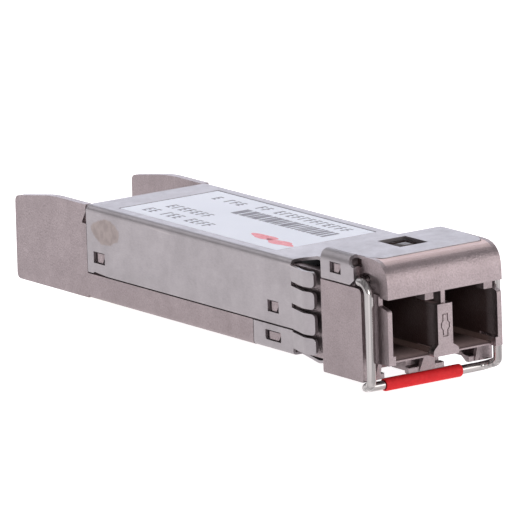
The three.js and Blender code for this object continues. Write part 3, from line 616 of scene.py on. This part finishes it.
def tube(name, path, radius, sides=28, cap_steps=5):
    """A round bar along a path, with domed ends that stay inside the path's ends."""
    rings = []
    dome = radius * 0.5
    directions = [(b - a).normalized() for a, b in zip(path, path[1:])]
    side = directions[0].orthogonal().normalized()
    for i, point in enumerate(path):
        if i == 0:
            direction = directions[0]
        elif i == len(path) - 1:
            direction = directions[-1]
        else:
            direction = (directions[i - 1] + directions[i]).normalized()
        side = (side - direction * side.dot(direction)).normalized()
        other = direction.cross(side)
        if i in (0, len(path) - 1):
            sign = 1 if i == 0 else -1
            order = range(cap_steps, 0, -1) if i == 0 else range(1, cap_steps + 1)
            domes = []
            for k in order:
                turn = k / (cap_steps + 1) * math.pi / 2
                domes.append((radius * math.cos(turn), dome * (1 - math.sin(turn))))
            flat = (radius, dome)
            profile = domes + [flat] if i == 0 else [flat] + domes
            for r, back in profile:
                rings.append((point + direction * sign * back, side, other, r))
        else:
            rings.append((point, side, other, radius))
    work = bmesh.new()
    loops = []
    for point, u, v, r in rings:
        loops.append(
            [
                work.verts.new(point + (u * math.cos(t) + v * math.sin(t)) * r)
                for t in (2 * math.pi * k / sides for k in range(sides))
            ]
        )
    for a, b in zip(loops, loops[1:]):
        for k in range(sides):
            work.faces.new((a[k], a[(k + 1) % sides], b[(k + 1) % sides], b[k]))
    work.faces.new(loops[0][::-1])
    work.faces.new(loops[-1])
    return from_bmesh(name, work, 50)


def lathe_x(name, profile, centre, sides=48):
    """A ring turned about the X axis from a closed profile of (x, radius)."""
    work = bmesh.new()
    loops = [
        [
            work.verts.new((x, centre.y + r * math.cos(t), centre.z + r * math.sin(t)))
            for t in (2 * math.pi * k / sides for k in range(sides))
        ]
        for x, r in profile
    ]
    for a, b in zip(loops, loops[1:] + loops[:1]):
        for k in range(sides):
            work.faces.new((a[k], a[(k + 1) % sides], b[(k + 1) % sides], b[k]))
    return from_bmesh(name, work, 40)


# The sheet and cast pieces keep their CAD shapes, with worked edges.
softened("base_housing", CAST, 0.07, 2)
softened("top_cover", COVER, 0.05, 2)
softened("lower_emi_collar", NICKEL, 0.04, 2)
softened("nose_cap", NICKEL, 0.08, 2)
softened("label", LABEL, 0.03, 1)
softened("latch_lever", CAST, 0.05, 2)
softened("optics_clamp", SPRING, 0.04, 1)
softened("circuit_board", MASK, 0.05, 1)
softened("thermal_pad", SILICONE, 0.06, 2)
for node in (
    "laser_driver_chip",
    "receiver_amplifier_chip",
    "microcontroller_chip",
    "memory_chip",
):
    softened(node, EPOXY, 0.04, 2)
softened("crystal_can", TURNED, 0.1, 3)
for side in ("left", "right"):
    softened("power_inductor_" + side, FERRITE, 0.1, 2)
    softened("bulk_capacitor_" + side, CAPACITOR, 0.05, 2)
    softened("filter_capacitor_" + side, CAPACITOR, 0.04, 2)
for lane in ("transmit_", "receive_"):
    softened(lane + "barrel", TURNED, 0.05, 2)
    softened(lane + "can", GOLD, 0.05, 2)

# These nodes are drawn as they are; only their material is new, listed with a slot name.
CARRIED = {
    "insulating_film": (AMBER, "amber_film"),
    "latch_pin": (TURNED, "turned_steel"),
}
for lane in ("transmit_", "receive_"):
    CARRIED[lane + "split_sleeve"] = (CERAMIC, "white_ceramic")
    CARRIED[lane + "fibre_stub"] = (CERAMIC, "white_ceramic")
    CARRIED[lane + "gasket"] = (SILICONE, "grey_silicone")
    CARRIED[lane + "leads"] = (GOLD, "gold_plate")
    CARRIED[lane + "flex"] = (AMBER, "amber_film")
for node, (material, slot) in CARRIED.items():
    mesh = frame["nodes"][node].data
    mesh.materials.clear()
    mesh.materials.append(material)

# The spring leaf, which the rocker's rails press flat as the latch lifts, gets its own copy of
# its mesh.
spring = softened("latch_spring", SPRING, 0.03, 1)
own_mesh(spring)

# Bail: one bent wire from stub to stub, round the front of the ports, with the CAD's bends.
wire_low, wire_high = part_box("bail_wire")
WIRE_RADIUS = 0.4 * MM
STUB_END = 4.9 * MM
PIVOT_MM = (0, -5.4, 8.2)
STUB_BEND, SHOULDER_BEND, KNEE_BEND, CORNER_BEND = 0.45 * MM, 1.0 * MM, 0.65 * MM, 1.0 * MM
KNEE_RISE = 0.6 * MM
CORNER_INSET = 0.2 * MM
BEND_STEPS = 9
pivot_y, pivot_z = at(*PIVOT_MM).yz
arm_x = wire_high.x - WIRE_RADIUS
arm_y = wire_low.y + WIRE_RADIUS
bar_z = wire_low.z + WIRE_RADIUS
half_path = [
    (Vector((STUB_END, pivot_y, pivot_z)), 0),
    (Vector((arm_x, pivot_y, pivot_z)), STUB_BEND),
    (Vector((arm_x, arm_y, pivot_z)), SHOULDER_BEND),
    (Vector((arm_x, arm_y, bar_z + KNEE_RISE)), KNEE_BEND),
    (Vector((arm_x - CORNER_INSET, pivot_y, bar_z)), CORNER_BEND),
]
mirrored = [(Vector((-p.x, p.y, p.z)), r) for p, r in reversed(half_path)]
bail_path = rounded_path(half_path + mirrored, BEND_STEPS)
bail = tube("bail_wire_drawn", bail_path, WIRE_RADIUS)
dress(bail, "bail", WIRE)
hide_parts("bail_wire")

# Sleeve: a moulded ring on the crossbar, with eased ends.
sleeve_low, sleeve_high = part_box("bail_sleeve")
sleeve_centre = (sleeve_low + sleeve_high) / 2
SLEEVE_BORE = 0.45 * MM
sleeve_radius = (sleeve_high.z - sleeve_low.z) / 2
SLEEVE_EDGE = 0.1 * MM
sleeve_ease = SLEEVE_EDGE * 0.3
profile = [
    (sleeve_low.x, SLEEVE_BORE),
    (sleeve_low.x, sleeve_radius - SLEEVE_EDGE),
    (sleeve_low.x + sleeve_ease, sleeve_radius - sleeve_ease),
    (sleeve_low.x + SLEEVE_EDGE, sleeve_radius),
    (sleeve_high.x - SLEEVE_EDGE, sleeve_radius),
    (sleeve_high.x - sleeve_ease, sleeve_radius - sleeve_ease),
    (sleeve_high.x, sleeve_radius - SLEEVE_EDGE),
    (sleeve_high.x, SLEEVE_BORE),
]
sleeve = lathe_x("bail_sleeve_moulded", profile, sleeve_centre)
dress(sleeve, "bail", RED)
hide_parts("bail_sleeve")

# Label print: a bar pattern, lines of plain strokes and a plain red mark, all generic.
rng = random.Random(11)
INK_HEIGHT = 0.004 * MM
label_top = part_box("label")[1].z


def ink_box(work, x0, x1, y0, y1):
    """A printed rectangle on the label, in millimetres."""
    low, high = at(x0, y0, 0), at(x1, y1, 0)
    box_mesh(work, (low.x, low.y, label_top), (high.x, high.y, label_top + INK_HEIGHT))


CELL_MM, STEM_MM, ARM_MM = 0.92, 0.25, 0.2
CELL_NEEDED, ARM_REACH = 0.7, 0.62


def stroke_line(work, x0, x1, y0, y1, gaps=()):
    """Stroke marks between two depths: each cell gets a stem and one to three short arms."""
    middle = (x0 + x1) / 2
    arms = (
        (x0, x0 + ARM_MM),
        (middle - ARM_MM / 2, middle + ARM_MM / 2),
        (x1 - ARM_MM, x1),
    )
    y = y1
    column = 0
    while y - CELL_MM * CELL_NEEDED > y0:
        if column not in gaps:
            ink_box(work, x0, x1, y - STEM_MM, y)
            skipped = rng.choice((0, 1, 2))
            for left, right in arms[skipped:]:
                ink_box(work, left, right, y - CELL_MM * ARM_REACH, y - STEM_MM)
        y -= CELL_MM
        column += 1


BARS_ACROSS_MM = (0.72, 2.62)
BARS_FROM_MM, BARS_LAST_MM, BARS_END_MM = 24.2, 10.4, 10.2
BAR_WIDTHS_MM, BAR_GAPS_MM = (0.35, 0.5, 0.6, 0.95), (0.14, 0.18, 0.26)
work = bmesh.new()
y = BARS_FROM_MM
while y > BARS_LAST_MM:
    width = rng.choice(BAR_WIDTHS_MM)
    ink_box(work, *BARS_ACROSS_MM, max(y - width, BARS_END_MM), y)
    y -= width + rng.choice(BAR_GAPS_MM)
dress(from_bmesh("label_bars", work), "housing", INK)

# Each line of strokes: from x to x, from depth to depth, and the cells left empty.
STROKE_LINES_MM = (
    (3.35, 4.5, 10.4, 24.2, (2,)),
    (2.9, 4.0, 25.6, 30.3, (1,)),
    (-2.0, -0.8, 23.9, 30.4, ()),
    (-4.25, -3.0, 20.6, 30.8, (2, 6)),
)
work = bmesh.new()
for line in STROKE_LINES_MM:
    stroke_line(work, *line)
dress(from_bmesh("label_lines", work), "housing", INK)

# Each blob of the mark: its middle, its half sizes, and the waves round its edge.
MARK_BLOBS_MM = ((-2.9, 13.9, 0.62, 1.8, 3), (-3.3, 10.9, 0.62, 1.9, 4))
MARK_POINTS = 36
MARK_SWELL, MARK_PHASE = 0.14, 0.6
work = bmesh.new()
for middle_x, middle_y, half_x, half_y, waves in MARK_BLOBS_MM:
    outline = []
    for k in range(MARK_POINTS):
        angle = 2 * math.pi * k / MARK_POINTS
        swell = 1 + MARK_SWELL * math.sin(waves * angle + MARK_PHASE)
        x = middle_x + half_x * swell * math.sin(angle)
        y = middle_y + half_y * swell * math.cos(angle)
        outline.append((x, y))
    loops = [
        [work.verts.new((at(x, y, 0).x, at(x, y, 0).y, z)) for x, y in outline]
        for z in (label_top, label_top + INK_HEIGHT)
    ]
    work.faces.new(loops[0][::-1])
    work.faces.new(loops[1])
    for k in range(MARK_POINTS):
        n = (k + 1) % MARK_POINTS
        work.faces.new((loops[0][k], loops[0][n], loops[1][n], loops[1][k]))
dress(from_bmesh("label_mark", work), "housing", RED_INK)

# Board edge: ten gold contacts on each face, the ground ones nearer the edge.
PAD_COUNT = 10
GROUND_PADS = (0, 3, 6, 9)
PAD_PITCH_MM = 0.8
PAD_HALF_MM = 0.29
PAD_LENGTH_MM = 3.1
BOARD_REAR_MM = 44.3
GROUND_SETBACK_MM, SIGNAL_SETBACK_MM = 0.45, 0.85
PAD_HEIGHT = 0.02 * MM
board_low, board_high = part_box("circuit_board")
work = bmesh.new()
for face in (0, 1):
    for k in range(PAD_COUNT):
        x = (k - (PAD_COUNT - 1) / 2) * PAD_PITCH_MM
        setback = GROUND_SETBACK_MM if k in GROUND_PADS else SIGNAL_SETBACK_MM
        rear = BOARD_REAR_MM - setback
        front = rear - PAD_LENGTH_MM
        z = board_high.z if face else board_low.z - PAD_HEIGHT
        low, high = at(x - PAD_HALF_MM, front, 0), at(x + PAD_HALF_MM, rear, 0)
        box_mesh(work, (low.x, low.y, z), (high.x, high.y, z + PAD_HEIGHT))
dress(from_bmesh("edge_contacts", work), "housing", GOLD)

# ---------------------------------------------------------------- floor, light and camera

FLOOR_HALF = 3.0
FLOOR_GAP = 0.02 * MM
floor_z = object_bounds()[0].z - FLOOR_GAP
work = bmesh.new()
bmesh.ops.create_grid(work, x_segments=2, y_segments=2, size=FLOOR_HALF)
floor = from_bmesh("floor", work)
floor.location.z = floor_z
floor_material, floor_tree, floor_shader = shader_of("pale_table", Roughness=0.9)
speck = noise(floor_tree, object_place(floor_tree), 40.0, 2)
connect(
    floor_tree,
    floor_shader.inputs["Base Color"],
    mixed(floor_tree, speck, (0.80, 0.785, 0.79), (0.81, 0.795, 0.80)),
)
floor_shader.inputs["Emission Color"].default_value = (1, 0.985, 0.99, 1)
floor_shader.inputs["Emission Strength"].default_value = 0.85
floor_shader.inputs["Specular IOR Level"].default_value = 0.1
floor.data.materials.append(floor_material)

CENTRE = at(0, 15, 4)


def softbox(name, direction, distance, size, radiance, colour):
    """An area light that faces the module; radiance is how bright its face looks."""
    width, height = size
    data = bpy.data.lights.new(name, "AREA")
    data.shape = "RECTANGLE"
    data.size, data.size_y = width, height
    data.color = colour
    data.energy = radiance * width * height * math.pi
    obj = bpy.data.objects.new(name, data)
    bpy.context.scene.collection.objects.link(obj)
    toward = Vector(direction).normalized()
    obj.location = CENTRE + toward * distance
    obj.rotation_euler = toward.to_track_quat("Z", "Y").to_euler()
    return obj


softbox("key", (0.56, 0.20, 0.80), 0.6, (0.20, 0.20), 1.7, (0.98, 0.99, 1.0))
softbox("upper_back", (0.565, 0.52, 0.64), 0.65, (0.36, 0.28), 1.2, (0.90, 0.93, 1.0))
softbox("back_panel", (0.572, 0.82, 0.22), 0.7, (0.80, 0.32), 1.42, (0.82, 0.865, 1.0))
softbox("left_back", (-0.25, 0.80, 0.52), 0.65, (0.42, 0.42), 0.8, (0.97, 0.97, 1.0))
softbox("fill", (-0.42, -0.86, 0.28), 0.7, (0.28, 0.28), 7.0, (1.0, 0.96, 0.94))
softbox("front_panel", (0.62, -0.72, 0.20), 0.6, (0.40, 0.32), 2.55, (1.0, 0.965, 0.95))

world = bpy.data.worlds.new("studio")
bpy.context.scene.world = world
world.use_nodes = True
background = world.node_tree.nodes["Background"]
background.inputs["Color"].default_value = (0.49, 0.475, 0.485, 1)
background.inputs["Strength"].default_value = 1.0

CAMERA_TURN, CAMERA_RISE, CAMERA_ROLL = -34.93, 12.48, -1.95
CAMERA_DISTANCE = 0.824
SENSOR_WIDTH_MM, LENS_MM = 36, 645
AIM_RIGHT, AIM_UP = -2.015 * MM, 1.524 * MM
turn, rise, roll = (math.radians(a) for a in (CAMERA_TURN, CAMERA_RISE, CAMERA_ROLL))
back = Vector(
    (math.sin(turn) * math.cos(rise), -math.cos(turn) * math.cos(rise), math.sin(rise))
)
level = Vector((math.cos(turn), math.sin(turn), 0))
above = back.cross(level)
right = math.cos(roll) * level + math.sin(roll) * above
up = -math.sin(roll) * level + math.cos(roll) * above
aim = CENTRE + AIM_RIGHT * right + AIM_UP * up
place = CENTRE + back * CAMERA_DISTANCE
depth = (place - aim).normalized()
right = (right - depth * right.dot(depth)).normalized()
up = depth.cross(right)
camera_data = bpy.data.cameras.new("camera")
camera_data.sensor_width = SENSOR_WIDTH_MM
camera_data.lens = LENS_MM
camera_data.clip_start = 0.01
camera_data.clip_end = 10
camera = bpy.data.objects.new("camera", camera_data)
bpy.context.scene.collection.objects.link(camera)
rotation = Matrix((right, up, depth)).transposed()
camera.matrix_world = Matrix.Translation(place) @ rotation.to_4x4()
bpy.context.scene.camera = camera
bpy.context.scene.view_settings.view_transform = "Standard"
